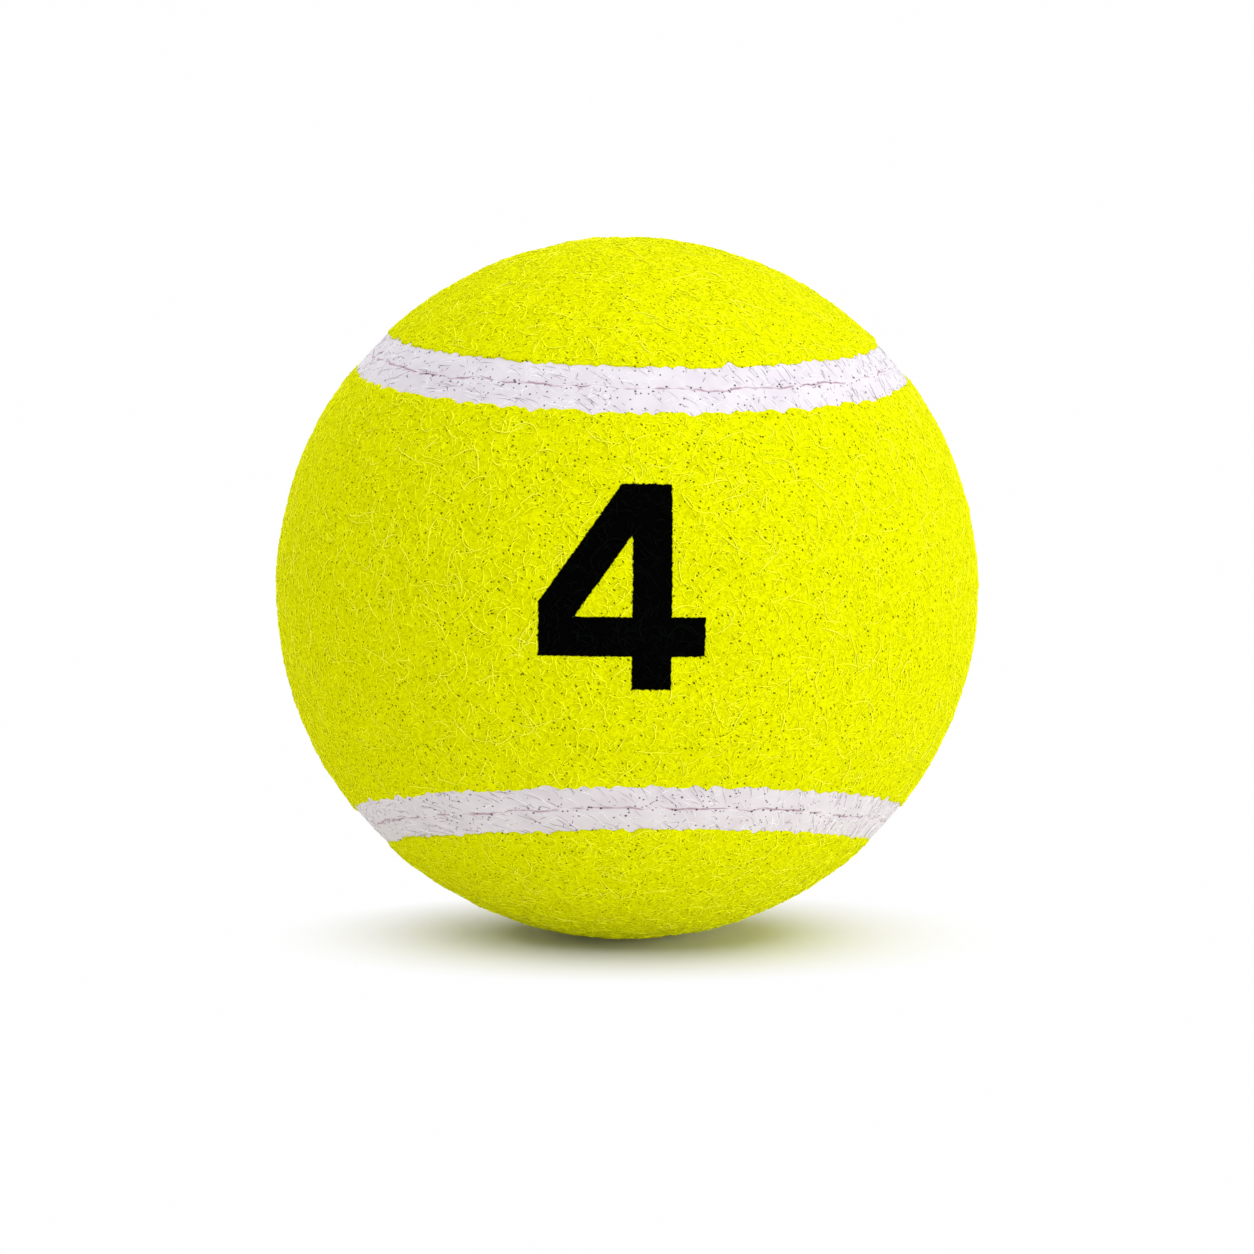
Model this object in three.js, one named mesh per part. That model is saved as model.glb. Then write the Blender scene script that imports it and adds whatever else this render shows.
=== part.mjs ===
// Tennis cricket ball: a hollow rubber core in two half shells, covered by two dog-bone felt panels that
// interlock, with a white rubber edging on each panel where the panels meet along the seam.
// Millimetres, +Z up. The origin is the ball's centre. The waist of the front panel faces -Y.
import * as THREE from "three";

// Driving dimensions, in millimetres
const ballDiameter = 66;
const feltThickness = 2.1;
const clothThickness = 0.4;
const adhesiveThickness = 0.2;
const coreWall = 4;
const coreJointThickness = 0.3;
const layerGap = 0.3;
const seamBandWidth = 4.2;
const seamRecess = 0.1;
const seamLineWidth = 0.3;
const seamEdgeGap = 0.3;
const feltEdgeRound = 0.3;
const seamEdgeRound = 0.15;

// Driving angle, in degrees: how far each lobe's centre leans past a quarter turn from the waist
const lobeLean = 12.9;

// Facet counts
const seamFacets = 48;
const hiddenSeamFacets = 32;
const acrossFacets = 12;
const hiddenAcrossFacets = 8;
const roundFacets = 3;
const coreFacetsAround = 32;
const coreFacetsUp = 8;

// Radii of the layers, from the outside in
const ballRadius = ballDiameter / 2;
const feltInnerRadius = ballRadius - feltThickness;
const clothOuterRadius = feltInnerRadius - layerGap;
const clothInnerRadius = clothOuterRadius - clothThickness;
const adhesiveOuterRadius = clothInnerRadius - layerGap;
const adhesiveInnerRadius = adhesiveOuterRadius - adhesiveThickness;
const coreOuterRadius = adhesiveInnerRadius - layerGap;
const coreInnerRadius = coreOuterRadius - coreWall;
const bandOuterRadius = ballRadius - seamRecess;
const bandInnerRadius = adhesiveOuterRadius + layerGap;

// Distances inward from the seam's centre line, measured along the ball's surface
const bandStart = seamLineWidth / 2;
const bandEnd = seamBandWidth / 2 - seamEdgeGap;
const feltStart = seamBandWidth / 2;

// The seam is four equal arcs of circles on the sphere. Two bound the waist and two bound the lobes, and
// their radius is the one at which neighbouring arcs meet smoothly, a quarter turn from the waist.
const lean = THREE.MathUtils.degToRad(lobeLean);
const arcRadius = Math.acos(Math.cos(lean) / Math.SQRT2);
const arcHalfTurn = Math.acos(-Math.sin(2 * lean) / (2 * Math.sin(2 * arcRadius)));
const edgeHalfTurn = 2 * arcHalfTurn;

const sideways = new THREE.Vector3(1, 0, 0);
const upwards = new THREE.Vector3(0, 0, 1);
const waistCircle = {
  centre: new THREE.Vector3(0, -Math.sin(lean), Math.cos(lean)),
  towardsMiddle: new THREE.Vector3(0, -Math.cos(lean), -Math.sin(lean)),
};
const lobeCircle = {
  centre: new THREE.Vector3(Math.cos(lean), Math.sin(lean), 0),
  towardsTip: new THREE.Vector3(-Math.sin(lean), Math.cos(lean), 0),
};

// Unit vector to the point at a turn about a circle's centre, counted from one direction to another
function pointOnCircle(centre, from, to, radius, turn) {
  const outward = from.clone().multiplyScalar(Math.cos(turn));
  outward.addScaledVector(to, Math.sin(turn));
  return centre.clone().multiplyScalar(Math.cos(radius)).addScaledVector(outward, Math.sin(radius));
}

// Unit vector to a point by the front panel's upper edge, at a distance inward from the seam.
// The turn is zero at the waist and reaches edgeHalfTurn at the right lobe's tip, minus that at the left.
function edgeDirection(turn, inward) {
  const inset = inward / ballRadius;
  const along = Math.abs(turn);
  const { centre: waist, towardsMiddle } = waistCircle;
  const { centre: lobe, towardsTip } = lobeCircle;
  const point =
    along <= arcHalfTurn
      ? pointOnCircle(waist, towardsMiddle, sideways, arcRadius + inset, along)
      : pointOnCircle(lobe, towardsTip, upwards, arcRadius - inset, edgeHalfTurn - along);
  if (turn < 0) point.x = -point.x;
  return point;
}

function mirrorDown(point) {
  return new THREE.Vector3(point.x, point.y, -point.z);
}

// Points between a point above the panel's long axis and its mirror image below, along the sphere
function pointsAcross(top, facets) {
  const radius = top.length();
  const azimuth = Math.atan2(top.x, -top.y);
  const latitude = Math.asin(top.z / radius);
  return Array.from({ length: facets - 1 }, (_, index) => {
    const height = latitude * (1 - (2 * (index + 1)) / facets);
    const reach = radius * Math.cos(height);
    return new THREE.Vector3(
      reach * Math.sin(azimuth),
      -reach * Math.cos(azimuth),
      radius * Math.sin(height),
    );
  });
}

// Turns along the upper edge, evenly spaced from the left lobe's tip to the right lobe's tip
function edgeTurns(facets) {
  return Array.from({ length: facets + 1 }, (_, index) => edgeHalfTurn * ((2 * index) / facets - 1));
}

// Closed surface through a row of closed sections, with as many points each. A row that returns to its
// start makes a ring, and one whose end sections have shrunk to a line closes there by itself.
function skinOver(sections, isRing) {
  const positions = [];
  const addTriangle = (...corners) => {
    const hasLength = corners.every((corner, i) => corner.distanceTo(corners[(i + 1) % 3]) > 1e-5);
    if (hasLength) corners.forEach((corner) => positions.push(corner.x, corner.y, corner.z));
  };
  const last = isRing ? sections.length : sections.length - 1;
  for (let i = 0; i < last; i += 1) {
    const here = sections[i];
    const next = sections[(i + 1) % sections.length];
    for (let k = 0; k < here.length; k += 1) {
      const after = (k + 1) % here.length;
      addTriangle(here[k], here[after], next[after]);
      addTriangle(here[k], next[after], next[k]);
    }
  }
  const geometry = new THREE.BufferGeometry();
  geometry.setAttribute("position", new THREE.Float32BufferAttribute(positions, 3));
  geometry.computeVertexNormals();
  return geometry;
}

// Side of a layer, from its inner to its outer surface, with the outer corner rounded
function roundedSide(start, innerRadius, outerRadius, rounding) {
  const side = [{ inward: start, radius: innerRadius }];
  for (let step = 0; step <= roundFacets; step += 1) {
    const angle = (Math.PI / 2) * (step / roundFacets);
    side.push({
      inward: start + rounding * (1 - Math.cos(angle)),
      radius: outerRadius - rounding * (1 - Math.sin(angle)),
    });
  }
  return side;
}

function squareSide(start, innerRadius, outerRadius) {
  return [
    { inward: start, radius: innerRadius },
    { inward: start, radius: outerRadius },
  ];
}

// Dog-bone layer over the front panel's area, between the two radii of its side
function panelLayer(side, alongFacets, facetsAcross) {
  const sections = edgeTurns(alongFacets).map((turn) => {
    const upperSide = side.map(({ inward, radius }) => edgeDirection(turn, inward).multiplyScalar(radius));
    const lowerSide = upperSide.map(mirrorDown);
    const outerRow = pointsAcross(upperSide.at(-1), facetsAcross);
    const innerRow = pointsAcross(upperSide[0], facetsAcross).reverse();
    return [...upperSide, ...outerRow, ...lowerSide.reverse(), ...innerRow];
  });
  return skinOver(sections, false);
}

function feltPanel() {
  const side = roundedSide(feltStart, feltInnerRadius, ballRadius, feltEdgeRound);
  return panelLayer(side, seamFacets, acrossFacets);
}

function baseCloth() {
  const side = squareSide(feltStart, clothInnerRadius, clothOuterRadius);
  return panelLayer(side, hiddenSeamFacets, hiddenAcrossFacets);
}

// The adhesive runs on under the edging, as far as the seam's centre line
function panelAdhesive() {
  const side = squareSide(bandStart, adhesiveInnerRadius, adhesiveOuterRadius);
  return panelLayer(side, hiddenSeamFacets, hiddenAcrossFacets);
}

// White edging all round the front panel, with both outer corners rounded
function seamCement() {
  const seamSide = roundedSide(0, bandInnerRadius, bandOuterRadius, seamEdgeRound);
  const nearSide = seamSide.map(({ inward, radius }) => ({ inward: bandStart + inward, radius }));
  const farSide = seamSide.map(({ inward, radius }) => ({ inward: bandEnd - inward, radius })).reverse();
  const outline = [...nearSide, ...farSide];
  const sectionAt = (turn) =>
    outline.map(({ inward, radius }) => edgeDirection(turn, inward).multiplyScalar(radius));
  const upper = edgeTurns(seamFacets).map(sectionAt);
  const lower = upper.slice(1, -1).map((section) => section.map(mirrorDown));
  return skinOver([...upper, ...lower.reverse()], true);
}

// Half of the core, rim down: an outer arc from the rim to the pole and an inner arc back
function coreShell() {
  const rimHeight = coreJointThickness / 2;
  const arcFromRim = (radius) => {
    const start = Math.asin(rimHeight / radius);
    return Array.from({ length: coreFacetsUp + 1 }, (_, index) => {
      const angle = start + (Math.PI / 2 - start) * (index / coreFacetsUp);
      return new THREE.Vector2(index === coreFacetsUp ? 0 : radius * Math.cos(angle), radius * Math.sin(angle));
    });
  };
  const profile = [...arcFromRim(coreInnerRadius).reverse(), ...arcFromRim(coreOuterRadius)];
  return new THREE.LatheGeometry(profile, coreFacetsAround).rotateX(Math.PI / 2);
}

// Flat ring of cement between the rims of the half shells
function coreJoint() {
  const height = coreJointThickness / 2;
  const inner = Math.sqrt(coreInnerRadius ** 2 - height ** 2);
  const outer = Math.sqrt(coreOuterRadius ** 2 - height ** 2);
  const profile = [
    new THREE.Vector2(inner, -height),
    new THREE.Vector2(outer, -height),
    new THREE.Vector2(outer, height),
    new THREE.Vector2(inner, height),
    new THREE.Vector2(inner, -height),
  ];
  return new THREE.LatheGeometry(profile, coreFacetsAround).rotateX(Math.PI / 2);
}

// Materials
function yellowFelt() {
  return new THREE.MeshStandardMaterial({ color: 0xe8ef12, roughness: 0.95, metalness: 0 });
}

function wovenCloth() {
  return new THREE.MeshStandardMaterial({ color: 0xe6e3a4, roughness: 0.9, metalness: 0 });
}

function whiteRubber() {
  return new THREE.MeshStandardMaterial({ color: 0xeeeaf0, roughness: 0.55, metalness: 0 });
}

function darkRubber() {
  return new THREE.MeshStandardMaterial({ color: 0x35332f, roughness: 0.7, metalness: 0 });
}

function amberAdhesive() {
  return new THREE.MeshStandardMaterial({ color: 0xb98a4e, roughness: 0.6, metalness: 0 });
}

function piece(name, geometry, material) {
  const mesh = new THREE.Mesh(geometry, material);
  mesh.name = name;
  return mesh;
}

function core() {
  const group = new THREE.Group();
  const upper = piece("upper_core_shell", coreShell(), darkRubber());
  const lower = piece("lower_core_shell", coreShell(), darkRubber());
  lower.rotation.x = Math.PI;
  group.add(upper, lower, piece("core_joint_cement", coreJoint(), darkRubber()));
  return group;
}

// One dog-bone panel with what carries and edges it
function panel(label) {
  const group = new THREE.Group();
  group.add(
    piece(`${label}_panel_adhesive`, panelAdhesive(), amberAdhesive()),
    piece(`${label}_base_cloth`, baseCloth(), wovenCloth()),
    piece(`${label}_felt_panel`, feltPanel(), yellowFelt()),
    piece(`${label}_seam_cement`, seamCement(), whiteRubber()),
  );
  return group;
}

const ball = new THREE.Group();
const frontPanel = panel("front");
const backPanel = panel("back");

// Half a turn about an axis through two opposite points of the seam swaps the two panels
const swapAxis = new THREE.Vector3(1, 0, 1).normalize();
backPanel.quaternion.setFromAxisAngle(swapAxis, Math.PI);
ball.add(core(), frontPanel, backPanel);

export default ball;
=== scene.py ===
# Tennis cricket ball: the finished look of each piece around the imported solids, in metres.
import math

import bmesh
import bpy
import numpy as np
from mathutils import Matrix, Vector, noise


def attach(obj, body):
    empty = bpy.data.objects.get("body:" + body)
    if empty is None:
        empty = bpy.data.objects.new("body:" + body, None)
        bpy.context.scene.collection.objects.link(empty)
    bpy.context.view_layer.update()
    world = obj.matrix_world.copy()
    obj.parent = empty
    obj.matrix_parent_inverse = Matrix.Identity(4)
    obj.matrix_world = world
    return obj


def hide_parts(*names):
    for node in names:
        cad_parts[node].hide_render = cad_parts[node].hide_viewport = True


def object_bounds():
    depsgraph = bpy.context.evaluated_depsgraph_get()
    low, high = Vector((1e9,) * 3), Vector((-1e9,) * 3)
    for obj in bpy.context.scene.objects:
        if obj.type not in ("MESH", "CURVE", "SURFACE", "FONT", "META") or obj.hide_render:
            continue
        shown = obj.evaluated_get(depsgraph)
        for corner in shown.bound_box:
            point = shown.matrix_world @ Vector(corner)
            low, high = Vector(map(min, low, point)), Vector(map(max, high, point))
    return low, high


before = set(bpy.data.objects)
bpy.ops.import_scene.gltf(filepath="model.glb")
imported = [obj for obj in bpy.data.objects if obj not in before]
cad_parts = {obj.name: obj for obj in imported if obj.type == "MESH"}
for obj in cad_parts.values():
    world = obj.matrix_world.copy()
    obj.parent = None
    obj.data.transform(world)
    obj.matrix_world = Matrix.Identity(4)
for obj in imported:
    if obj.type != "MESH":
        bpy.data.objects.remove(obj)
cad_low, cad_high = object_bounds()

# Core half shells
# Two hemispherical shells of black natural rubber compound, pressed in a hot mould. Their outsides are
# buffed all over so that the adhesive holds, which leaves a fine grey scratched bloom.
MM = 0.001
BLACK_RUBBER = (0.022, 0.021, 0.019)
BUFFED_GREY = (0.085, 0.08, 0.07)


def new_finish(name, roughness):
    """A material with its node tree, and its main shader at that roughness."""
    material = bpy.data.materials.new(name)
    material.use_nodes = True
    shader = material.node_tree.nodes["Principled BSDF"]
    shader.inputs["Roughness"].default_value = roughness
    return material, material.node_tree, shader


def put(tree, kind, inputs=(), **settings):
    """Adds a node to a tree. An input is a value or another node's output."""
    node = tree.nodes.new(kind)
    for key, value in settings.items():
        setattr(node, key, value)
    for key, value in dict(inputs).items():
        if isinstance(value, bpy.types.NodeSocket):
            tree.links.new(value, node.inputs[key])
        else:
            node.inputs[key].default_value = value
    return node


def maths(tree, operation, *values):
    """The output of a Math node."""
    return put(tree, "ShaderNodeMath", enumerate(values), operation=operation).outputs[0]


def grain(tree, place, size, detail=2.0, distortion=0.0):
    """Noise whose features are about that size in metres, from 0 to 1."""
    inputs = {"Vector": place, "Scale": 1 / size, "Detail": detail, "Distortion": distortion}
    return put(tree, "ShaderNodeTexNoise", inputs).outputs["Fac"]


def ramp(tree, value, start, end, low=0.0, high=1.0):
    """Straight ramp from low at start to high at end, held level beyond them."""
    inputs = {"Value": value, "From Min": start, "From Max": end, "To Min": low, "To Max": high}
    return put(tree, "ShaderNodeMapRange", inputs).outputs["Result"]


def blend_colours(tree, share, first, second):
    """First colour where the share is 0, second where it is 1."""
    node = put(tree, "ShaderNodeMix", {"Factor": share}, data_type="RGBA")
    for socket, colour in ((node.inputs[6], first), (node.inputs[7], second)):
        if isinstance(colour, bpy.types.NodeSocket):
            tree.links.new(colour, socket)
        else:
            socket.default_value = (*colour, 1)
    return node.outputs[2]


def object_place(tree):
    """Places on the piece itself, in metres."""
    return put(tree, "ShaderNodeTexCoord").outputs["Object"]


def rough_surface(tree, shader, height, depth):
    """Bump on the shader, from heights of 0 to 1 over that depth in metres."""
    bump = put(tree, "ShaderNodeBump", {"Height": height, "Distance": depth, "Strength": 1.0})
    tree.links.new(bump.outputs["Normal"], shader.inputs["Normal"])


def dress_node(name, material):
    """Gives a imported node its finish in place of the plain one."""
    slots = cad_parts[name].data.materials
    slots.clear()
    slots.append(material)


def buffed_rubber():
    material, tree, shader = new_finish("buffed_black_rubber", 0.72)
    place = object_place(tree)
    stretched = put(tree, "ShaderNodeMapping", {"Vector": place, "Scale": (1, 1, 9)}).outputs[0]
    scratches = grain(tree, stretched, 1.6 * MM, 5)
    bloom = grain(tree, place, 6 * MM, 3)
    dust = maths(tree, "MULTIPLY", ramp(tree, scratches, 0.45, 0.7), ramp(tree, bloom, 0.3, 0.7))
    colour = blend_colours(tree, dust, BLACK_RUBBER, BUFFED_GREY)
    tree.links.new(colour, shader.inputs["Base Color"])
    rough_surface(tree, shader, scratches, 0.06 * MM)
    return material


core_rubber = buffed_rubber()
for shell in ("upper_core_shell", "lower_core_shell"):
    dress_node(shell, core_rubber)

# Core joint cement
# A ring of rubber cement brushed on the two rims and cured between them. It is duller and browner than
# the shells, with small bubbles.
BUBBLE_SIZE = 1.1 * MM
DARK_CEMENT = (0.035, 0.028, 0.02)
BROWN_CEMENT = (0.09, 0.07, 0.05)


def cured_cement():
    material, tree, shader = new_finish("cured_core_cement", 0.6)
    place = object_place(tree)
    cells = {"Vector": place, "Scale": 1 / BUBBLE_SIZE}
    bubbles = put(tree, "ShaderNodeTexVoronoi", cells).outputs["Distance"]
    streaks = grain(tree, place, 2.5 * MM, 4, 0.6)
    colour = blend_colours(tree, streaks, DARK_CEMENT, BROWN_CEMENT)
    tree.links.new(colour, shader.inputs["Base Color"])
    rough_surface(tree, shader, ramp(tree, bubbles, 0.1, 0.3), 0.08 * MM)
    return material


dress_node("core_joint_cement", cured_cement())

# Panel adhesive
# A thin amber film of rubber solution, brushed on the core and on the back of each panel and left to
# go tacky. Brush marks and thicker runs stay in it.
THIN_AMBER = (0.62, 0.38, 0.14)
THICK_AMBER = (0.36, 0.17, 0.045)


def brushed_film():
    material, tree, shader = new_finish("amber_rubber_solution", 0.38)
    place = object_place(tree)
    strokes = put(tree, "ShaderNodeMapping", {"Vector": place, "Scale": (1, 6, 1)}).outputs[0]
    marks = grain(tree, strokes, 3 * MM, 4, 0.4)
    runs = grain(tree, place, 9 * MM, 2)
    thickness = maths(tree, "MULTIPLY", marks, runs)
    colour = blend_colours(tree, ramp(tree, thickness, 0.1, 0.42), THIN_AMBER, THICK_AMBER)
    tree.links.new(colour, shader.inputs["Base Color"])
    rough_surface(tree, shader, marks, 0.1 * MM)
    return material


film = brushed_film()
for film_node in ("front_panel_adhesive", "back_panel_adhesive"):
    dress_node(film_node, film)

# Base cloth
# The plain woven cotton cloth under the felt. The felt is needled into it, and both are dyed together.
# The weave's hollows are darkened with painted shade, and the yarns are lightened with painted light
# where they cross.
YARN_SPACING = 0.55 * MM
SHADED_YARN_HOLLOWS = (0.55, 0.54, 0.12)
LIT_YARN_TOPS = (0.86, 0.84, 0.42)
PALE_SLUBS = (0.9, 0.88, 0.6)


def woven_cloth():
    material, tree, shader = new_finish("woven_base_cloth", 0.9)
    place = object_place(tree)
    parts = put(tree, "ShaderNodeSeparateXYZ", {"Vector": place}).outputs
    waves = [maths(tree, "MULTIPLY", part, math.pi / YARN_SPACING) for part in parts]
    across = [maths(tree, "SINE", wave) for wave in waves]
    weave = maths(tree, "MULTIPLY", maths(tree, "MULTIPLY", across[0], across[2]), 0.5)
    weave = maths(tree, "ADD", weave, maths(tree, "MULTIPLY", across[1], 0.25))
    slubs = grain(tree, place, 1.5 * MM, 3)
    # Painted shade in the weave's hollows, painted light on the tops where the yarns cross
    colour = blend_colours(tree, ramp(tree, weave, -0.5, 0.5), SHADED_YARN_HOLLOWS, LIT_YARN_TOPS)
    colour = blend_colours(tree, ramp(tree, slubs, 0.35, 0.75, 0, 0.5), colour, PALE_SLUBS)
    tree.links.new(colour, shader.inputs["Base Color"])
    rough_surface(tree, shader, weave, 0.15 * MM)
    return material


cloth = woven_cloth()
for cloth_node in ("front_base_cloth", "back_base_cloth"):
    dress_node(cloth_node, cloth)

# Felt panels
# Two dog-bone panels of yellow-green wool and nylon felt, cut with a die and pressed on so that they
# interlock. The pile is matted, lumpy and pricked all over by needles, and the cut edge is nibbled.
# Painted shade darkens the needle pits and the gaps between the fibres.
BALL_RADIUS = (cad_high.y - cad_low.y) / 2
FELT_INNER_RADIUS = BALL_RADIUS - 2.1 * MM
SEAM_TOP_RADIUS = BALL_RADIUS - 0.12 * MM
SEAM_HALF_WIDTH = 2.0 * MM
NIBBLE_LENGTH = 1.1 * MM
NIBBLE_DEPTH = 0.7 * MM
LIP_UNDERCUT = 0.35 * MM
SMOOTH_INSET = 1.0 * MM
FELT_LIP_DEPTH = 0.3 * MM
FELT_EDGE_ROUND = 0.16 * MM
FELT_STATIONS = 600
FELT_ROWS = 126
LUMP_SIZE = 3.4 * MM
LUMP_HEIGHT = 0.28 * MM
TUFT_SIZE = 1.1 * MM
TUFT_HEIGHT = 0.2 * MM

# The seam is four equal arcs of circles on the ball, two round the waist and two round the lobes
LEAN = math.radians(12.9)
ARC_RADIUS = math.acos(math.cos(LEAN) / math.sqrt(2))
ARC_HALF_TURN = math.acos(-math.sin(2 * LEAN) / (2 * math.sin(2 * ARC_RADIUS)))
WAIST_CENTRE = np.array((0, -math.sin(LEAN), math.cos(LEAN)))
WAIST_START = np.array((0, -math.cos(LEAN), -math.sin(LEAN)))
LOBE_CENTRE = np.array((math.cos(LEAN), math.sin(LEAN), 0))
LOBE_START = np.array((-math.sin(LEAN), math.cos(LEAN), 0))
BACK_FROM_FRONT = Matrix.Rotation(math.pi, 4, Vector((1, 0, 1)))


def on_circle(centre, start, side, radius, turn):
    """Unit vectors round a circle on the unit sphere, at turns counted from start towards side."""
    outward = np.cos(turn)[:, None] * start + np.sin(turn)[:, None] * np.array(side)
    return np.cos(radius)[:, None] * centre + np.sin(radius)[:, None] * outward


def panel_edge(turn, inward, half):
    """Unit vectors beside the front panel's edge, each that far inward from the seam's centre line.
    The turn is 0 at the waist and twice ARC_HALF_TURN at the right lobe's tip. half is 1 for the upper
    edge and -1 for the lower."""
    inset = np.broadcast_to(inward / BALL_RADIUS, turn.shape)
    along = np.abs(turn)
    waist = on_circle(WAIST_CENTRE, WAIST_START, (1, 0, 0), ARC_RADIUS + inset, along)
    lobe = on_circle(LOBE_CENTRE, LOBE_START, (0, 0, 1), ARC_RADIUS - inset, 2 * ARC_HALF_TURN - along)
    points = np.where((along <= ARC_HALF_TURN)[:, None], waist, lobe)
    signs = [np.where(turn < 0, -1, 1), np.ones_like(turn), np.full_like(turn, half)]
    return points * np.stack(signs, axis=1)


def edge_turns(count):
    return 2 * ARC_HALF_TURN * np.linspace(-1, 1, count + 1)


def nibbles(points):
    """How far the cut edge is eaten back at each point: rounded bites, smaller nicks and long waves."""
    elsewhere = Vector((5.3, 1.7, 8.1))
    bites = [abs(noise.noise(Vector(p) / NIBBLE_LENGTH + elsewhere)) for p in points]
    nicks = [abs(noise.noise(Vector(p) / (0.4 * NIBBLE_LENGTH) - elsewhere)) for p in points]
    waves = [noise.noise(Vector(p) / (5 * NIBBLE_LENGTH)) for p in points]
    return NIBBLE_DEPTH * (np.array(bites) + 0.4 * np.array(nicks) + 0.35 * np.array(waves))


def points_between(top, bottom, count):
    """Rows of points from top to bottom along the sphere, without the two ends."""
    radius = np.linalg.norm(top, axis=1)
    azimuth = [np.arctan2(end[:, 0], -end[:, 1]) for end in (top, bottom)]
    latitude = [np.arcsin(end[:, 2] / radius) for end in (top, bottom)]
    rows = []
    for share in np.arange(1, count) / count:
        turn = azimuth[0] + (azimuth[1] - azimuth[0]) * share
        height = latitude[0] + (latitude[1] - latitude[0]) * share
        flat = np.cos(height)
        parts = [flat * np.sin(turn), -flat * np.cos(turn), np.sin(height)]
        rows.append(radius[:, None] * np.stack(parts, axis=1))
    return rows


def skin_over(name, sections, is_ring):
    """Closed mesh through a row of closed sections of as many points each."""
    count, size = sections.shape[:2]
    here = np.arange(count * size).reshape(count, size)
    following = np.roll(here, -1, axis=0)
    if not is_ring:
        here, following = here[:-1], following[:-1]
    corners = [here, np.roll(here, -1, axis=1), np.roll(following, -1, axis=1), following]
    faces = np.stack(corners, axis=-1).reshape(-1, 4)
    mesh = bpy.data.meshes.new(name)
    mesh.from_pydata(sections.reshape(-1, 3).tolist(), [], faces.tolist())
    shape = bmesh.new()
    shape.from_mesh(mesh)
    bmesh.ops.remove_doubles(shape, verts=shape.verts, dist=0.001 * MM)
    shape.to_mesh(mesh)
    shape.free()
    mesh.polygons.foreach_set("use_smooth", [True] * len(mesh.polygons))
    return mesh


def felt_skin(name):
    """Front panel's felt, its cut edge rounded on top and undercut for the edging that goes under it."""
    turns = edge_turns(FELT_STATIONS)
    rounding = np.linspace(0, math.pi / 2, 5)
    lip_radius = BALL_RADIUS - FELT_LIP_DEPTH
    side = [(LIP_UNDERCUT, FELT_INNER_RADIUS), (LIP_UNDERCUT, lip_radius), (0, lip_radius)]
    side += [
        (FELT_EDGE_ROUND * (1 - math.cos(a)), BALL_RADIUS - FELT_EDGE_ROUND * (1 - math.sin(a)))
        for a in rounding
    ]
    halves = []
    for half in (1, -1):
        seam = panel_edge(turns, np.zeros_like(turns), half) * BALL_RADIUS
        start = SEAM_HALF_WIDTH + nibbles(seam)
        rows = [panel_edge(turns, start + inward, half) * radius for inward, radius in side]
        smooth = panel_edge(turns, SEAM_HALF_WIDTH + SMOOTH_INSET, half)
        halves.append([smooth * FELT_INNER_RADIUS, *rows, smooth * BALL_RADIUS])
    upper, lower = halves
    outer = points_between(upper[-1], lower[-1], FELT_ROWS)
    inner = points_between(lower[0], upper[0], 6)
    return skin_over(name, np.stack([*upper, *outer, *lower[::-1], *inner], axis=1), False)


def new_object(name, data):
    """An object with this mesh, lamp or camera, in the scene."""
    thing = bpy.data.objects.new(name, data)
    bpy.context.scene.collection.objects.link(thing)
    return thing


def new_tree(name, sizes, output):
    """Geometry Nodes tree with a geometry input and one named input for each size."""
    tree = bpy.data.node_groups.new(name, "GeometryNodeTree")
    tree.interface.new_socket("Panel", in_out="INPUT", socket_type="NodeSocketGeometry")
    for size, kind in sizes.items():
        tree.interface.new_socket(size, in_out="INPUT", socket_type=kind)
    tree.interface.new_socket(output, in_out="OUTPUT", socket_type="NodeSocketGeometry")
    return tree, put(tree, "NodeGroupInput").outputs, put(tree, "NodeGroupOutput")


def grown(piece, tree, values):
    """The piece's mesh after the tree has run on it with these input values."""
    modifier = piece.modifiers.new(tree.name, "NODES")
    modifier.node_group = tree
    for socket in tree.interface.items_tree:
        if socket.item_type == "SOCKET" and socket.in_out == "INPUT" and socket.name in values:
            modifier[socket.identifier] = values[socket.name]
    evaluated = piece.evaluated_get(bpy.context.evaluated_depsgraph_get())
    mesh = bpy.data.meshes.new_from_object(evaluated)
    piece.modifiers.remove(modifier)
    return mesh


def vector_maths(tree, operation, *values):
    """The vector output of a Vector Math node, or its value output for a length or a dot product."""
    node = put(tree, "ShaderNodeVectorMath", enumerate(values), operation=operation)
    return node.outputs["Value" if operation in ("LENGTH", "DOT_PRODUCT") else "Vector"]


def scaled(tree, vector, factor):
    """The vector times a factor."""
    return put(tree, "ShaderNodeVectorMath", {0: vector, "Scale": factor}, operation="SCALE").outputs[0]


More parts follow.
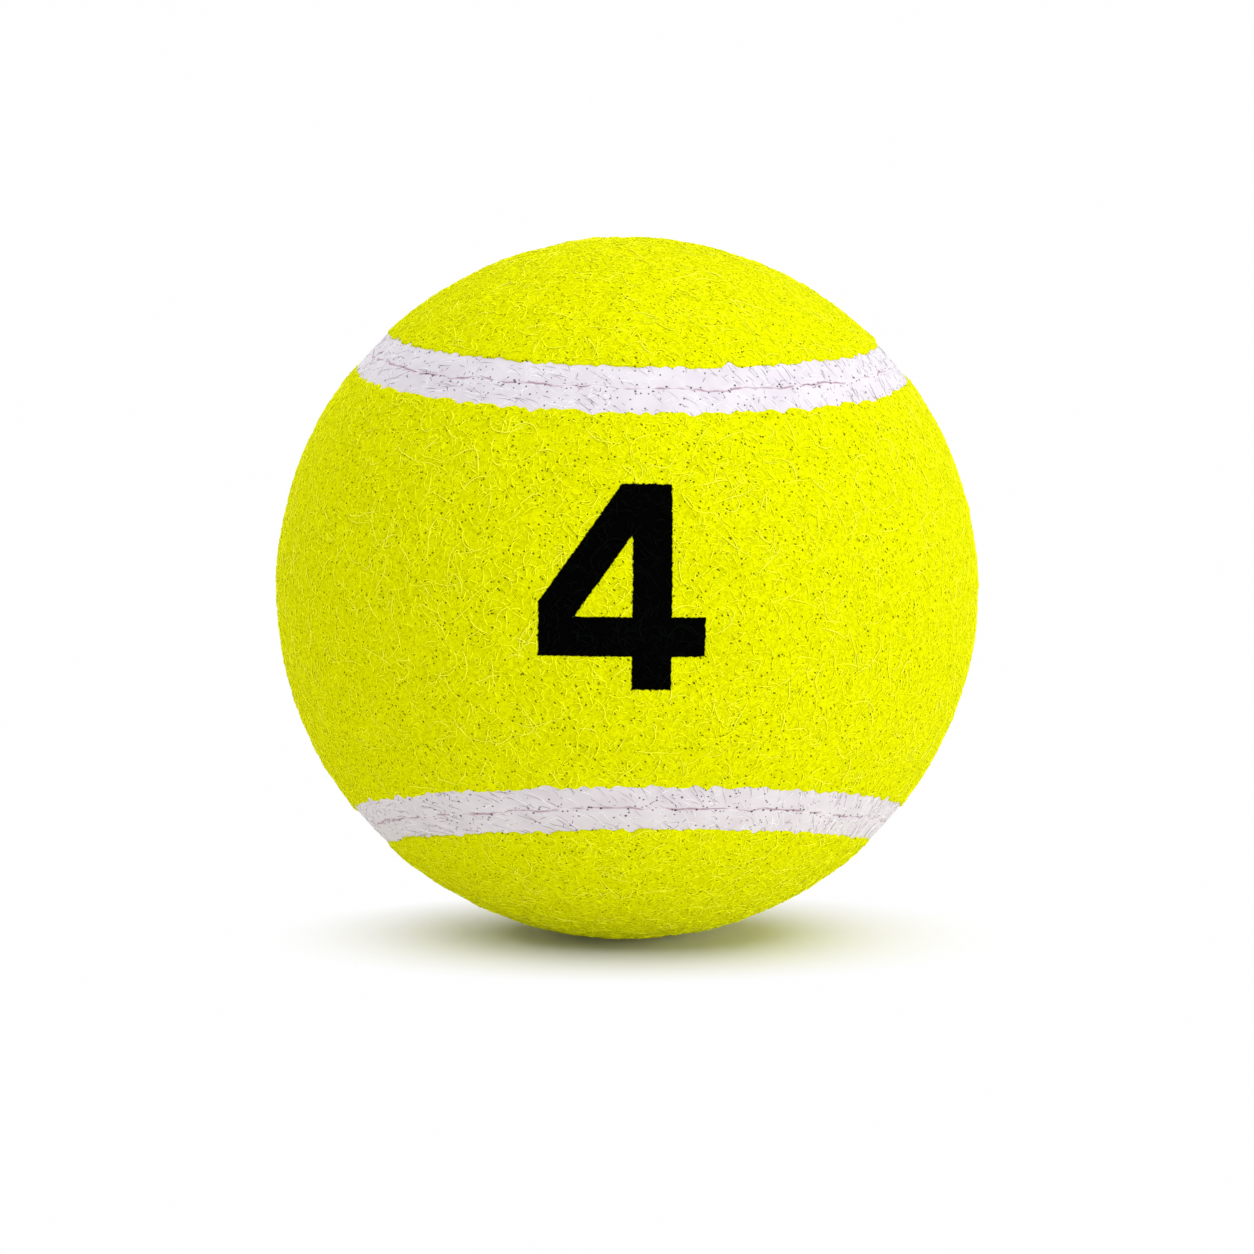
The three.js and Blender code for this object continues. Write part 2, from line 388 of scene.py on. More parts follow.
def matted_pile_tree():
    """Raises and sinks the felt's surface as its matted pile does, and leaves its back as it is."""
    number, stuff = "NodeSocketFloat", "NodeSocketMaterial"
    sizes = {"Lump height": number, "Tuft height": number, "Felt": stuff}
    tree, given, result = new_tree("matted_pile", sizes, "Felt panel")
    place = put(tree, "GeometryNodeInputPosition").outputs[0]
    swells = maths(tree, "SUBTRACT", grain(tree, place, LUMP_SIZE, 1), 0.5)
    tufts = maths(tree, "SUBTRACT", grain(tree, place, TUFT_SIZE, 1), 0.5)
    swells = maths(tree, "MULTIPLY", swells, given["Lump height"])
    tufts = maths(tree, "MULTIPLY", tufts, given["Tuft height"])
    height = maths(tree, "ADD", swells, tufts)
    reach = vector_maths(tree, "LENGTH", place)
    outside = ramp(tree, reach, BALL_RADIUS - FELT_LIP_DEPTH, BALL_RADIUS - 0.02 * MM)
    outward = vector_maths(tree, "NORMALIZE", place)
    lift = scaled(tree, outward, maths(tree, "MULTIPLY", height, outside))
    moved = put(tree, "GeometryNodeSetPosition", {"Geometry": given["Panel"], "Offset": lift})
    whole = put(tree, "GeometryNodeRealizeInstances", {"Geometry": moved.outputs[0]})
    dyed_inputs = {"Geometry": whole.outputs[0], "Material": given["Felt"]}
    dyed = put(tree, "GeometryNodeSetMaterial", dyed_inputs)
    tree.links.new(dyed.outputs[0], result.inputs[0])
    return tree


# A plain play number is printed in black over the front panel's waist
NUMBER_HEIGHT = 16 * MM
NUMBER_WIDTH = 13 * MM
NUMBER_STROKE = 3.1 * MM
NUMBER_MIDDLE = (-2.4 * MM, 1.2 * MM)
INK_EDGE = 0.04 * MM
INK_CREEP = 0.25 * MM


def outside_bar(tree, across, up, start, end, width):
    """Distance outside a straight bar from start to end on the printing plane, negative inside."""
    (x0, z0), (x1, z1) = start, end
    length = math.hypot(x1 - x0, z1 - z0)
    cos, sin = (x1 - x0) / length, (z1 - z0) / length
    x = maths(tree, "SUBTRACT", across, NUMBER_MIDDLE[0] + (x0 + x1) / 2)
    z = maths(tree, "SUBTRACT", up, NUMBER_MIDDLE[1] + (z0 + z1) / 2)
    along = maths(tree, "ADD", maths(tree, "MULTIPLY", x, cos), maths(tree, "MULTIPLY", z, sin))
    aside = maths(tree, "SUBTRACT", maths(tree, "MULTIPLY", z, cos), maths(tree, "MULTIPLY", x, sin))
    past_end = maths(tree, "SUBTRACT", maths(tree, "ABSOLUTE", along), length / 2)
    past_side = maths(tree, "SUBTRACT", maths(tree, "ABSOLUTE", aside), width / 2)
    return maths(tree, "MAXIMUM", past_end, past_side)


def printed_number(tree, place):
    """1 under the ink of the printed figure four, 0 elsewhere, with an edge that creeps in the pile."""
    parts = put(tree, "ShaderNodeSeparateXYZ", {"Vector": place}).outputs
    across, up = parts["X"], parts["Z"]
    top, right = NUMBER_HEIGHT / 2, NUMBER_WIDTH / 2
    stroke = NUMBER_STROKE
    stem = right - 1.35 * stroke
    shelf = -0.24 * NUMBER_HEIGHT
    shelf_foot = shelf - stroke / 2
    upright = outside_bar(tree, across, up, (stem, -top), (stem, top), stroke)
    level = outside_bar(tree, across, up, (-right, shelf), (right, shelf), stroke)
    low_end = (-right - 0.1 * stroke, shelf - 0.1 * stroke)
    high_end = (stem, top + 0.25 * stroke)
    slope = outside_bar(tree, across, up, low_end, high_end, 0.95 * stroke)
    middle = (top + shelf_foot) / 2
    kept_end = (stem + stroke / 2, middle)
    kept = outside_bar(tree, across, up, (-right, middle), kept_end, top - shelf_foot)
    slope = maths(tree, "MAXIMUM", slope, kept)
    distance = maths(tree, "MINIMUM", maths(tree, "MINIMUM", upright, level), slope)
    wander = maths(tree, "SUBTRACT", grain(tree, place, 0.35 * MM, 2), 0.5)
    distance = maths(tree, "ADD", distance, maths(tree, "MULTIPLY", wander, INK_CREEP))
    inked = ramp(tree, distance, -INK_EDGE, INK_EDGE, 1, 0)
    return maths(tree, "MULTIPLY", inked, maths(tree, "LESS_THAN", parts["Y"], 0))


INK = (0.0009, 0.0009, 0.0011)
DEEP_DYE = (0.73, 0.766, 0.0006)
BRIGHT_DYE = (0.79, 0.832, 0.0008)
SHADE_BETWEEN_FIBRES = (0.58, 0.608, 0.0003)
SHADE_IN_NEEDLE_PITS = (0.08, 0.085, 0.0)
FELT_SHEEN = (1.0, 1.0, 0.03)
ROUND_PIT_SPACING = 0.52 * MM
ROUND_PIT_RADIUS = 0.088 * MM
SLOT_PIT_SPACING = 0.45 * MM
SLOT_PIT_RADIUS = 0.068 * MM
SLOT_WANDER_SIZE = 0.5 * MM
SLOT_WANDER_REACH = 0.25 * MM


def spots(tree, place, cell, radius):
    """Round spots up to that radius, one in each cell of that size whose middle the surface passes."""
    apart = put(tree, "ShaderNodeTexVoronoi", {"Vector": place, "Scale": 1 / cell}).outputs["Distance"]
    return ramp(tree, apart, 0.75 * radius / cell, radius / cell, 1, 0)


def yellow_felt():
    material, tree, shader = new_finish("yellow_green_felt", 0.95)
    place = object_place(tree)
    clouds = grain(tree, place, 2.6 * MM, 3)
    fibres = grain(tree, place, 0.3 * MM, 2, 1.2)
    colour = blend_colours(tree, ramp(tree, clouds, 0.3, 0.7), DEEP_DYE, BRIGHT_DYE)
    # The gaps between the fibres are darkened with painted shade
    colour = blend_colours(tree, ramp(tree, fibres, 0.36, 0.56), SHADE_BETWEEN_FIBRES, colour)
    stray_inputs = {"Vector": place, "Scale": 1 / SLOT_WANDER_SIZE}
    stray = put(tree, "ShaderNodeTexNoise", stray_inputs).outputs["Color"]
    strayed = vector_maths(tree, "ADD", place, scaled(tree, stray, SLOT_WANDER_REACH))
    stretch = {"Vector": strayed, "Rotation": (0.4, 0.8, 0.3), "Scale": (2.3, 1, 1)}
    stretched = put(tree, "ShaderNodeMapping", stretch, vector_type="TEXTURE").outputs[0]
    round_pits = spots(tree, place, ROUND_PIT_SPACING, ROUND_PIT_RADIUS)
    slot_pits = spots(tree, stretched, SLOT_PIT_SPACING, SLOT_PIT_RADIUS)
    pricked = maths(tree, "MAXIMUM", round_pits, slot_pits)
    # The needle pits are darkened with painted shade
    colour = blend_colours(tree, maths(tree, "MULTIPLY", pricked, 0.9), colour, SHADE_IN_NEEDLE_PITS)
    number = printed_number(tree, place)
    colour = blend_colours(tree, number, colour, INK)
    tree.links.new(colour, shader.inputs["Base Color"])
    tree.links.new(ramp(tree, number, 0, 1, 0.5, 0.03), shader.inputs["Sheen Weight"])
    shader.inputs["Sheen Roughness"].default_value = 0.3
    shader.inputs["Sheen Tint"].default_value = (*FELT_SHEEN, 1)
    shader.inputs["Specular IOR Level"].default_value = 0.0
    height = maths(tree, "SUBTRACT", fibres, maths(tree, "MULTIPLY", pricked, 0.6))
    rough_surface(tree, shader, height, 0.08 * MM)
    return material


felt_finish = yellow_felt()
pile_tree = matted_pile_tree()
pile_values = {"Lump height": LUMP_HEIGHT, "Tuft height": TUFT_HEIGHT, "Felt": felt_finish}
felt_panels = {}
for side in ("front", "back"):
    smooth_mesh = felt_skin(f"{side}_felt")
    if side == "back":
        smooth_mesh.transform(BACK_FROM_FRONT)
    felt = new_object(f"{side}_felt", smooth_mesh)
    felt.data = grown(felt, pile_tree, pile_values)
    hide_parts(f"{side}_felt_panel")
    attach(felt, "root")
    felt_panels[side] = felt

# Seam cement
# The white edging of each panel: its cut edge is dipped in white rubber cement, and both edgings are
# vulcanised into one flush band in the mould. The mauve joint runs down its middle, and its skin is
# finely crazed, with dark cracks, raised white wrinkles and pin holes. The pin holes are darkened with
# painted shade, and a painted highlight lies in patches beside the joint.
SEAM_UNDER_FELT = 0.75 * MM
SEAM_INNER_RADIUS = BALL_RADIUS - 2.5 * MM
SEAM_CORNER = 0.05 * MM
SEAM_STATIONS = 850
JOINT_WANDER = 0.4 * MM
SEAM_SWELL = 0.04 * MM
DULL_WHITE = (0.66, 0.612, 0.675)
CLEAR_WHITE = (0.74, 0.698, 0.76)
PAINTED_HIGHLIGHT_WHITE = (0.88, 0.86, 0.91)
JOINT_MAUVE = (0.42, 0.26, 0.34)
SHADE_IN_PIN_HOLES = (0.06, 0.03, 0.05)


def seam_outline():
    """Distances inward from the seam's centre line, and radii, round a section of the edging."""
    end = SEAM_HALF_WIDTH + SEAM_UNDER_FELT
    corner = [
        (SEAM_CORNER * (1 - math.cos(a)), SEAM_TOP_RADIUS - SEAM_CORNER * (1 - math.sin(a)))
        for a in np.linspace(0, math.pi / 2, 4)
    ]
    top = [(inward, SEAM_TOP_RADIUS) for inward in np.linspace(SEAM_CORNER, end, 13)[1:]]
    return [(0, SEAM_INNER_RADIUS), *corner, *top, (end, SEAM_INNER_RADIUS)]


def seam_skin(name, side):
    """Front panel's edging as a closed ring. The joint wanders alike on both edgings, so they meet."""
    turns = edge_turns(SEAM_STATIONS)
    end = SEAM_HALF_WIDTH + SEAM_UNDER_FELT
    sections = []
    for half in (1, -1):
        seam = panel_edge(turns, np.zeros_like(turns), half) * BALL_RADIUS
        drift = []
        for point in seam:
            spot = Vector(point) if side == "front" else BACK_FROM_FRONT @ Vector(point)
            drift.append(noise.noise(spot / (3 * MM)) + 0.5 * noise.noise(spot / MM))
        drift = np.array(drift) * (1 if side == "front" else -1)
        swell = np.array([noise.noise(Vector(point) / (1.3 * MM)) for point in seam])
        rows = []
        for inward, radius in seam_outline():
            moved = inward + JOINT_WANDER * (1 - inward / end) * drift
            lift = SEAM_SWELL * swell * inward / end if radius > SEAM_INNER_RADIUS else 0 * swell
            rows.append(panel_edge(turns, moved, half) * (radius + lift)[:, None])
        sections.append(np.stack(rows, axis=1))
    upper, lower = sections
    around = np.concatenate([upper, lower[-2:0:-1]])
    mesh = skin_over(name, around, True)
    distance = mesh.attributes.new("joint_distance", "FLOAT", "POINT")
    inward_distances = [inward for inward, radius in seam_outline()]
    distance.data.foreach_set("value", np.tile(inward_distances, len(around)))
    return mesh


def crazed_white_rubber():
    material, tree, shader = new_finish("crazed_white_rubber", 0.6)
    place = object_place(tree)
    shader.inputs["Specular IOR Level"].default_value = 0.15
    shader.inputs["Sheen Weight"].default_value = 0.3
    shader.inputs["Sheen Roughness"].default_value = 0.4
    clouds = grain(tree, place, 2.2 * MM, 3)
    colour = blend_colours(tree, ramp(tree, clouds, 0.3, 0.7), DULL_WHITE, CLEAR_WHITE)
    from_joint = put(tree, "ShaderNodeAttribute", attribute_name="joint_distance").outputs["Fac"]
    patches = grain(tree, place, 1.9 * MM, 2)
    beside_joint = ramp(tree, from_joint, 0.09 * MM, 0.14 * MM, 1, 0)
    # Painted highlight in patches just beside the joint, as on a ridge catching the light
    painted_highlight = maths(tree, "MULTIPLY", beside_joint, ramp(tree, patches, 0.45, 0.55, 0, 0.8))
    colour = blend_colours(tree, painted_highlight, colour, PAINTED_HIGHLIGHT_WHITE)
    worn = ramp(tree, grain(tree, place, 0.7 * MM, 2), 0.3, 0.7, -0.03 * MM, 0.05 * MM)
    near_joint = ramp(tree, maths(tree, "SUBTRACT", from_joint, worn), 0.05 * MM, 0.13 * MM, 1, 0)
    stained = maths(tree, "MULTIPLY", near_joint, ramp(tree, patches, 0.42, 0.6, 0.8, 0.2))
    colour = blend_colours(tree, stained, colour, JOINT_MAUVE)
    fine_pins = spots(tree, place, 0.55 * MM, 0.085 * MM)
    coarse_pins = spots(tree, place, 1.3 * MM, 0.12 * MM)
    along_joint = maths(tree, "LESS_THAN", from_joint, 0.3 * MM)
    joint_pins = maths(tree, "MULTIPLY", along_joint, spots(tree, place, 0.5 * MM, 0.12 * MM))
    pinned = maths(tree, "MAXIMUM", maths(tree, "MAXIMUM", fine_pins, coarse_pins), joint_pins)
    # The pin holes are darkened with painted shade
    colour = blend_colours(tree, maths(tree, "MULTIPLY", pinned, 0.92), colour, SHADE_IN_PIN_HOLES)
    tree.links.new(colour, shader.inputs["Base Color"])
    height = maths(tree, "SUBTRACT", maths(tree, "MULTIPLY", clouds, 0.5), pinned)
    rough_surface(tree, shader, height, 0.04 * MM)
    return material


def thread_tree(name, bends):
    """Lays thin threads with those bends, in radians, on a panel's outer side, cut off at its edge."""
    number, count, stuff = "NodeSocketFloat", "NodeSocketInt", "NodeSocketMaterial"
    sizes = {"Threads per m2": number, "Shortest": number, "Longest": number, "Thickness": number}
    sizes |= {"First turn": number, "Last turn": number, "Sway size": number, "Sway reach": number}
    sizes |= {"Arch": number, "Sink": number, "Points": count, "Seed": count, "Finish": stuff}
    tree, given, result = new_tree(name, sizes, "Threads")
    place = put(tree, "GeometryNodeInputPosition").outputs[0]
    outward = vector_maths(tree, "NORMALIZE", place)
    normal = put(tree, "GeometryNodeInputNormal").outputs[0]
    facing = vector_maths(tree, "DOT_PRODUCT", normal, outward)
    least_facing = 0.35
    outer_inputs = {"A": facing, "B": least_facing}
    outer_side = put(tree, "FunctionNodeCompare", outer_inputs, operation="GREATER_THAN")
    spread_inputs = {"Mesh": given["Panel"], "Selection": outer_side.outputs[0]}
    spread_inputs |= {"Density": given["Threads per m2"], "Seed": given["Seed"]}
    spread = put(tree, "GeometryNodeDistributePointsOnFaces", spread_inputs)
    turn_inputs = {2: given["First turn"], 3: given["Last turn"]}
    turn_inputs["Seed"] = maths(tree, "ADD", given["Seed"], 1)
    turn = put(tree, "FunctionNodeRandomValue", turn_inputs).outputs[1]
    upright = put(tree, "FunctionNodeAlignRotationToVector", {"Vector": outward}, axis="Z")
    spin = put(tree, "FunctionNodeAxisAngleToRotation", {"Angle": turn})
    laid_inputs = {"Rotation": upright.outputs[0], "Rotate By": spin.outputs[0]}
    laid = put(tree, "FunctionNodeRotateRotation", laid_inputs, rotation_space="LOCAL")
    length_inputs = {2: given["Shortest"], 3: given["Longest"]}
    length_inputs["Seed"] = maths(tree, "ADD", given["Seed"], 2)
    length = put(tree, "FunctionNodeRandomValue", length_inputs).outputs[1]

    bows = put(tree, "GeometryNodeJoinGeometry")
    for bend in bends:
        arc_inputs = {"Resolution": given["Points"], "Radius": 1 / bend}
        arc_inputs |= {"Start Angle": -bend / 2, "Sweep Angle": bend}
        arc = put(tree, "GeometryNodeCurveArc", arc_inputs)
        middle_inputs = {"Geometry": arc.outputs[0], "Translation": (-1 / bend, 0, 0)}
        middled = put(tree, "GeometryNodeTransform", middle_inputs)
        bow = put(tree, "GeometryNodeGeometryToInstance", {"Geometry": middled.outputs[0]})
        tree.links.new(bow.outputs[0], bows.inputs[0])
    placed_inputs = {"Points": spread.outputs["Points"], "Instance": bows.outputs[0]}
    placed_inputs |= {"Pick Instance": True, "Rotation": laid.outputs[0], "Scale": length}
    placed = put(tree, "GeometryNodeInstanceOnPoints", placed_inputs)
    loose = put(tree, "GeometryNodeRealizeInstances", {"Geometry": placed.outputs[0]})

    sway_scale = maths(tree, "DIVIDE", 1, given["Sway size"])
    sway_inputs = {"Vector": place, "Scale": sway_scale, "Detail": 1.0}
    sway = put(tree, "ShaderNodeTexNoise", sway_inputs).outputs["Color"]
    sway = vector_maths(tree, "SUBTRACT", sway, (0.5, 0.5, 0.5))
    sway = scaled(tree, sway, given["Sway reach"])
    swayed = vector_maths(tree, "NORMALIZE", vector_maths(tree, "ADD", place, sway))
    above = scaled(tree, swayed, BALL_RADIUS + 1 * MM)
    lifted = put(tree, "GeometryNodeSetPosition", {"Geometry": loose.outputs[0], "Position": above})
    drop_inputs = {"Target Geometry": given["Panel"], "Ray Direction": scaled(tree, outward, -1.0)}
    drop_inputs["Ray Length"] = 1.5 * MM
    drop = put(tree, "GeometryNodeRaycast", drop_inputs).outputs
    past_edge = put(tree, "FunctionNodeBooleanMath", {0: drop["Is Hit"]}, operation="NOT")
    cut_inputs = {"Geometry": lifted.outputs[0], "Selection": past_edge.outputs[0]}
    cut = put(tree, "GeometryNodeDeleteGeometry", cut_inputs, domain="POINT")
    left = put(tree, "GeometryNodeSplineLength").outputs["Point Count"]
    fewest_points = 4
    stubs = put(tree, "FunctionNodeCompare", {"A": left, "B": fewest_points}, operation="LESS_THAN")
    stub_inputs = {"Geometry": cut.outputs[0], "Selection": stubs.outputs[0]}
    kept = put(tree, "GeometryNodeDeleteGeometry", stub_inputs, domain="CURVE")
    along = put(tree, "GeometryNodeSplineParameter").outputs["Factor"]
    arch = maths(tree, "SINE", maths(tree, "MULTIPLY", along, math.pi))
    rise = maths(tree, "SUBTRACT", maths(tree, "MULTIPLY", arch, given["Arch"]), given["Sink"])
    resting = vector_maths(tree, "ADD", drop["Hit Position"], scaled(tree, outward, rise))
    shaped = put(tree, "GeometryNodeSetPosition", {"Geometry": kept.outputs[0], "Position": resting})

    taper = maths(tree, "ADD", maths(tree, "MULTIPLY", arch, 0.6), 0.4)
    circle = put(tree, "GeometryNodeCurvePrimitiveCircle", {"Resolution": 3, "Radius": 0.5})
    tube_inputs = {"Curve": shaped.outputs[0], "Profile Curve": circle.outputs[0], "Fill Caps": True}
    tube_inputs["Scale"] = maths(tree, "MULTIPLY", taper, given["Thickness"])
    tube = put(tree, "GeometryNodeCurveToMesh", tube_inputs)
    smooth = put(tree, "GeometryNodeSetShadeSmooth", {"Geometry": tube.outputs[0]})
    whole = put(tree, "GeometryNodeRealizeInstances", {"Geometry": smooth.outputs[0]})
    dyed_inputs = {"Geometry": whole.outputs[0], "Material": given["Finish"]}
    dyed = put(tree, "GeometryNodeSetMaterial", dyed_inputs)
    tree.links.new(dyed.outputs[0], result.inputs[0])
    return tree


def craze_line(name, colour, other):
    """Finish of the fine lines in the white skin, between two tones along their way."""
    material, tree, shader = new_finish(name, 0.7)
    tone = grain(tree, object_place(tree), 0.6 * MM, 2)
    toned = blend_colours(tree, ramp(tree, tone, 0.35, 0.65), colour, other)
    tree.links.new(toned, shader.inputs["Base Color"])
    shader.inputs["Specular IOR Level"].default_value = 0.1
    return material


crack_finish = craze_line("mauve_crack", (0.15, 0.085, 0.13), (0.42, 0.33, 0.4))
ridge_finish = craze_line("white_ridge", (0.97, 0.96, 1.0), (0.88, 0.86, 0.92))
craze_tree = thread_tree("seam_crazing", (0.1, 0.3, 0.6, 1.2))

# Kinds of cracks and raised wrinkles. A turn is counted about the way out of the ball.
CRACK = {"Thickness": 0.07 * MM, "Arch": 0.008 * MM, "Sink": 0.018 * MM, "Finish": crack_finish}
RIDGE = {"Arch": 0.012 * MM, "Sink": 0.025 * MM, "Finish": ridge_finish}
ALL_WAYS = {"First turn": 0.0, "Last turn": math.tau}
SLANTED = {"First turn": math.radians(30), "Last turn": math.radians(62)}
SLANTED |= {"Sway size": 1.5 * MM, "Sway reach": 0.35 * MM, "Points": 9}
CROSSING = {"First turn": math.radians(80), "Last turn": math.radians(170)}
CRAZE_KINDS = {
    "slanted_cracks": CRACK | SLANTED | {
        "Threads per m2": 0.45e6, "Shortest": 0.9 * MM, "Longest": 3.2 * MM, "Seed": 3,
    },
    "short_cracks": CRACK | ALL_WAYS | {
        "Threads per m2": 0.6e6, "Shortest": 0.35 * MM, "Longest": 1.0 * MM, "Seed": 5,
        "Sway size": 0.8 * MM, "Sway reach": 0.25 * MM, "Points": 6,
    },
    "slanted_ridges": RIDGE | SLANTED | {
        "Threads per m2": 0.4e6, "Shortest": 1.2 * MM, "Longest": 3.6 * MM, "Seed": 7,
        "Thickness": 0.1 * MM,
    },
    "crossing_ridges": RIDGE | CROSSING | {
        "Threads per m2": 0.5e6, "Shortest": 0.6 * MM, "Longest": 2.0 * MM, "Seed": 9,
        "Sway size": 1.0 * MM, "Sway reach": 0.3 * MM, "Points": 8, "Thickness": 0.09 * MM,
    },
}
seam_finish = crazed_white_rubber()
for side in ("front", "back"):
    seam_mesh = seam_skin(f"{side}_edging", side)
    if side == "back":
        seam_mesh.transform(BACK_FROM_FRONT)
    seam_mesh.materials.append(seam_finish)
    edging = new_object(f"{side}_edging", seam_mesh)
    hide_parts(f"{side}_seam_cement")
    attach(edging, "root")
    for kind, values in CRAZE_KINDS.items():
        layer = new_object(f"{side}_{kind}", seam_mesh.copy())
        layer.data = grown(layer, craze_tree, values)
        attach(layer, "root")

# Felt strands
# Loose wool and nylon fibres that the needles left on top of the pile. They lie along the surface, curl
# back into it at both ends and are a little paler than the felt below. The whiter tint of the long
# strands is partly their own colour and partly a painted highlight in place of the gloss of their
# fibres.
INKED_STRAND = (0.003, 0.004, 0.003)


def pale_strand(name, colour, deep_colour):
    material, tree, shader = new_finish(name, 0.8)
    place = object_place(tree)
    tone = grain(tree, place, 1.6 * MM, 2)
    dyed = blend_colours(tree, ramp(tree, tone, 0.35, 0.65), deep_colour, colour)
    dyed = blend_colours(tree, printed_number(tree, place), dyed, INKED_STRAND)
    tree.links.new(dyed, shader.inputs["Base Color"])
    shader.inputs["Specular IOR Level"].default_value = 0.0
    return material


felt_strand_tree = thread_tree("felt_strands", (0.25, 0.8, 1.4, 2.2, 3.2))
# Whiter tint partly painted highlight, standing in for the fibres' gloss
long_finish = pale_strand("pale_long_strand_and_painted_gloss", (0.99, 1.0, 0.06), (0.96, 0.99, 0.008))
curl_finish = pale_strand("yellow_curl", (0.97, 1.0, 0.018), (0.92, 0.96, 0.002))

# Kinds of strands, lying on top of the pile or, lower, matted into it
LYING = ALL_WAYS | {"Arch": 0.08 * MM, "Sink": 0.03 * MM}
MATTED = ALL_WAYS | {"Arch": 0.06 * MM, "Sink": 0.02 * MM, "Points": 5, "Finish": curl_finish}
STRAND_KINDS = {
    "long_strands": LYING | {
        "Threads per m2": 0.14e6, "Shortest": 1.8 * MM, "Longest": 4.5 * MM, "Thickness": 0.11 * MM,
        "Sway size": 3.0 * MM, "Sway reach": 1.4 * MM, "Points": 10, "Seed": 11,
        "Finish": long_finish,
    },
    "curls": LYING | {
        "Threads per m2": 0.7e6, "Shortest": 0.7 * MM, "Longest": 1.7 * MM, "Thickness": 0.115 * MM,
        "Sway size": 1.2 * MM, "Sway reach": 0.6 * MM, "Points": 7, "Seed": 23,
        "Finish": curl_finish,
    },
    "matted_strands": MATTED | {
        "Threads per m2": 1.0e6, "Shortest": 0.5 * MM, "Longest": 1.2 * MM, "Thickness": 0.11 * MM,
        "Sway size": 0.8 * MM, "Sway reach": 0.4 * MM, "Seed": 37,
    },
    "fine_strands": MATTED | {
        "Threads per m2": 1.0e6, "Shortest": 0.5 * MM, "Longest": 1.1 * MM, "Thickness": 0.1 * MM,
        "Sway size": 0.6 * MM, "Sway reach": 0.3 * MM, "Seed": 53,
    },
}
for side, felt in felt_panels.items():
    for kind, values in STRAND_KINDS.items():
        layer = new_object(f"{side}_{kind}", felt.data.copy())
        layer.data = grown(layer, felt_strand_tree, values)
        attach(layer, "root")

# Setting
# A seamless white table under an even, soft studio light, as for a catalogue picture. The table keeps
# the core of the ball's real shadow. Farther out, a white glow seen only by the eye is painted over it
# and fades in over the shadow's outer part, so the shadow is painted smaller and shorter front to back.
FLOOR_HALF_SIZE = 1.5
PURE_WHITE = 0.995
STUDIO_LIGHT = 0.44
TABLE_WHITE = (0.975, 0.96, 0.965)
SHADOW_MIDDLE = (1.5 * MM, -1 * MM, 0)
SHADOW_NARROWING = (1, 1.9, 0)
SHADOW_KEPT_TO = 12 * MM
SHADOW_END = 35 * MM
CAMERA_DISTANCE = 5.02 * BALL_RADIUS
PICTURE_PIXELS = 1254
LENS_PIXELS = 1722
BALL_ABOVE_MIDDLE_PIXELS = 37.5


def white_to_the_eye(tree):
    """1 for rays that show the background: straight from the camera, or off metal, or through glass."""
    rays = put(tree, "ShaderNodeLightPath").outputs
    seen = rays["Is Camera Ray"]
    for way in ("Is Glossy Ray", "Is Transmission Ray"):
        seen = maths(tree, "MAXIMUM", seen, rays[way])
    return seen


def white_table():
    """White table top, with a painted white glow, seen only by the eye, that fades in over the outer
    part of the ball's real shadow.
    """
    material, tree, shader = new_finish("white_table", 0.8)
    shader.inputs["Base Color"].default_value = (*TABLE_WHITE, 1)
    shader.inputs["Specular IOR Level"].default_value = 0.0
    # Painted light: the glow covers the shadow from SHADOW_KEPT_TO outward, squeezed front to back
    aside = vector_maths(tree, "SUBTRACT", object_place(tree), SHADOW_MIDDLE)
    aside = vector_maths(tree, "LENGTH", vector_maths(tree, "MULTIPLY", aside, SHADOW_NARROWING))
    outside = ramp(tree, aside, SHADOW_KEPT_TO, SHADOW_END)
    pure = maths(tree, "MULTIPLY", outside, white_to_the_eye(tree))
    white = put(tree, "ShaderNodeEmission", {"Color": (1, 1, 1, 1), "Strength": PURE_WHITE})
    mixed = put(tree, "ShaderNodeMixShader", {0: pure, 1: shader.outputs[0], 2: white.outputs[0]})
    tree.links.new(mixed.outputs[0], tree.nodes["Material Output"].inputs["Surface"])
    return material


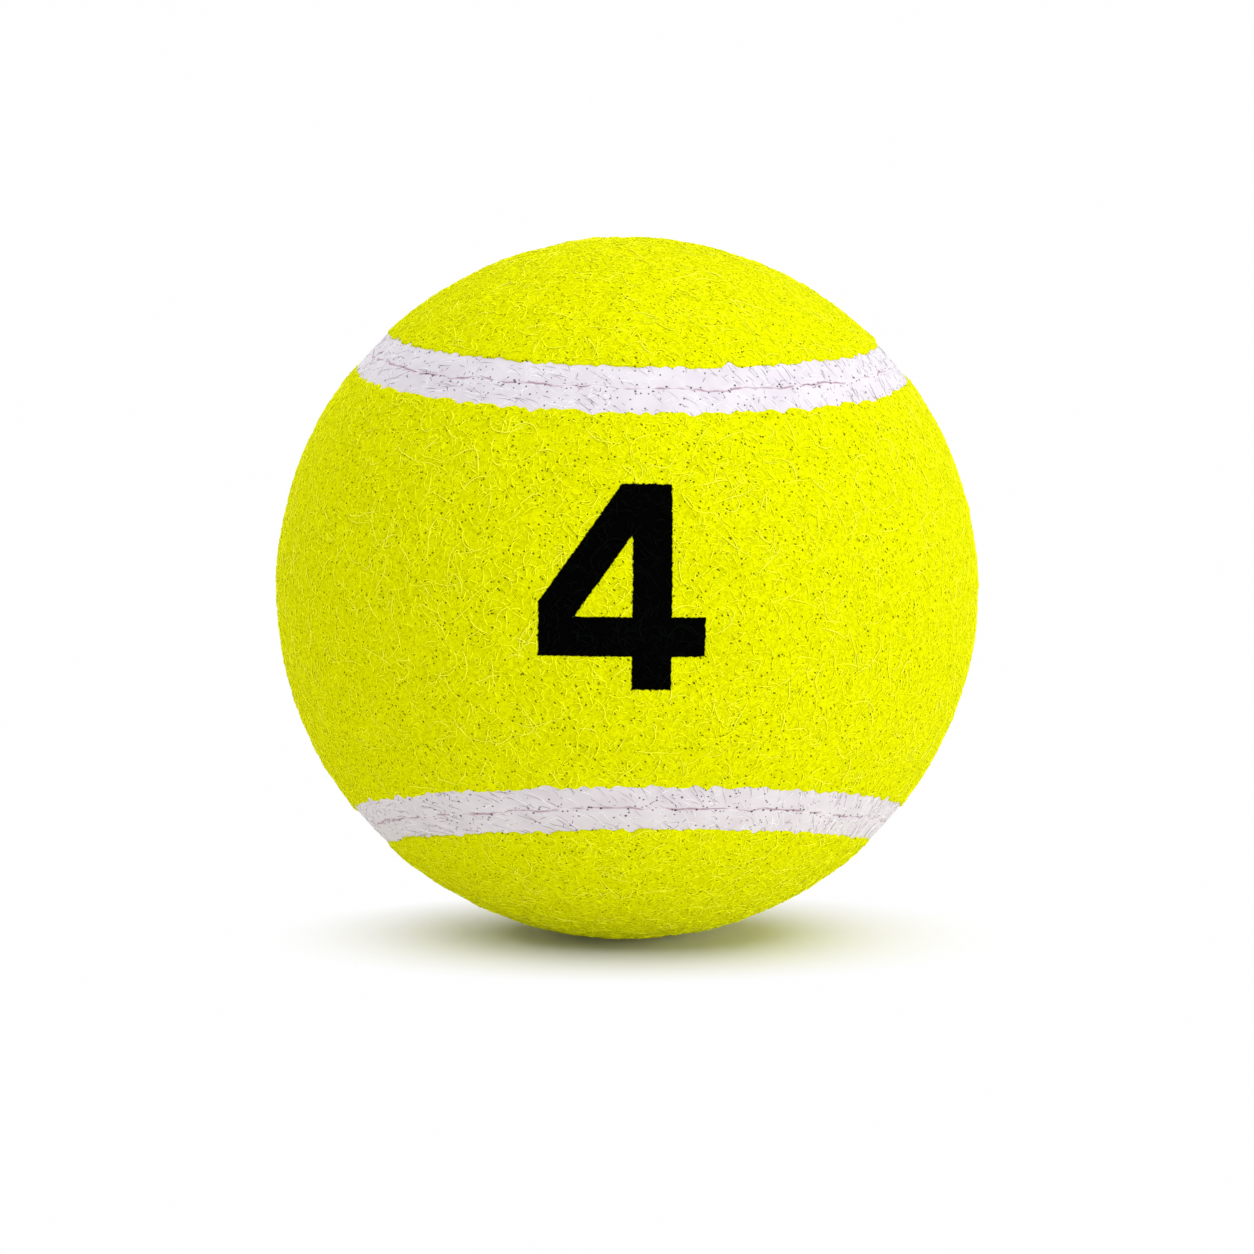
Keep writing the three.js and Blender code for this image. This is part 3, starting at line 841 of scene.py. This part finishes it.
h = FLOOR_HALF_SIZE
floor_mesh = bpy.data.meshes.new("table_top")
floor_mesh.from_pydata([(-h, -h, 0), (h, -h, 0), (h, h, 0), (-h, h, 0)], [], [(0, 1, 2, 3)])
floor_mesh.transform(Matrix.Translation((0, 0, -BALL_RADIUS - 0.15 * MM)))
floor_mesh.materials.append(white_table())
table_top = new_object("table_top", floor_mesh)

world = bpy.data.worlds.new("white_studio")
world.use_nodes = True
bpy.context.scene.world = world
background = world.node_tree.nodes["Background"]
eye = white_to_the_eye(world.node_tree)
strength = ramp(world.node_tree, eye, 0, 1, STUDIO_LIGHT, PURE_WHITE)
world.node_tree.links.new(strength, background.inputs["Strength"])
background.inputs["Color"].default_value = (1, 1, 1, 1)


def soft_lamp(name, towards, strength, spread):
    """Wide far lamp in that direction from the ball, its strength the irradiance that it adds."""
    lamp = bpy.data.lights.new(name, "SUN")
    lamp.angle = math.radians(spread)
    lamp.energy = math.pi * strength
    holder = new_object(name, lamp)
    holder.rotation_euler = Vector(towards).to_track_quat("Z", "Y").to_euler()


soft_lamp("overhead_softbox", (0.06, -0.2, 0.98), 0.66, 80)
soft_lamp("right_softbox", (0.81, -0.58, 0.07), 0.58, 42)
soft_lamp("backdrop_glow", (-0.65, 0.75, 0.1), 0.14, 40)

camera_data = bpy.data.cameras.new("camera")
camera_data.lens = camera_data.sensor_width * LENS_PIXELS / PICTURE_PIXELS
camera_data.clip_start = 10 * MM
camera = new_object("camera", camera_data)
bpy.context.scene.camera = camera
# The ball lies turned a little from the camera's point of view, about these axes
turned = Matrix.Rotation(0.0086, 4, "Y") @ Matrix.Rotation(0.0313, 4, "X")
turned = turned @ Matrix.Rotation(0.0623, 4, "Z")
level = Matrix.Translation((0, -CAMERA_DISTANCE, 0)) @ Matrix.Rotation(math.pi / 2, 4, "X")
tilt = Matrix.Rotation(-math.atan(BALL_ABOVE_MIDDLE_PIXELS / LENS_PIXELS), 4, "X")
camera.matrix_world = turned.inverted() @ level @ tilt
bpy.context.scene.view_settings.view_transform = "Standard"
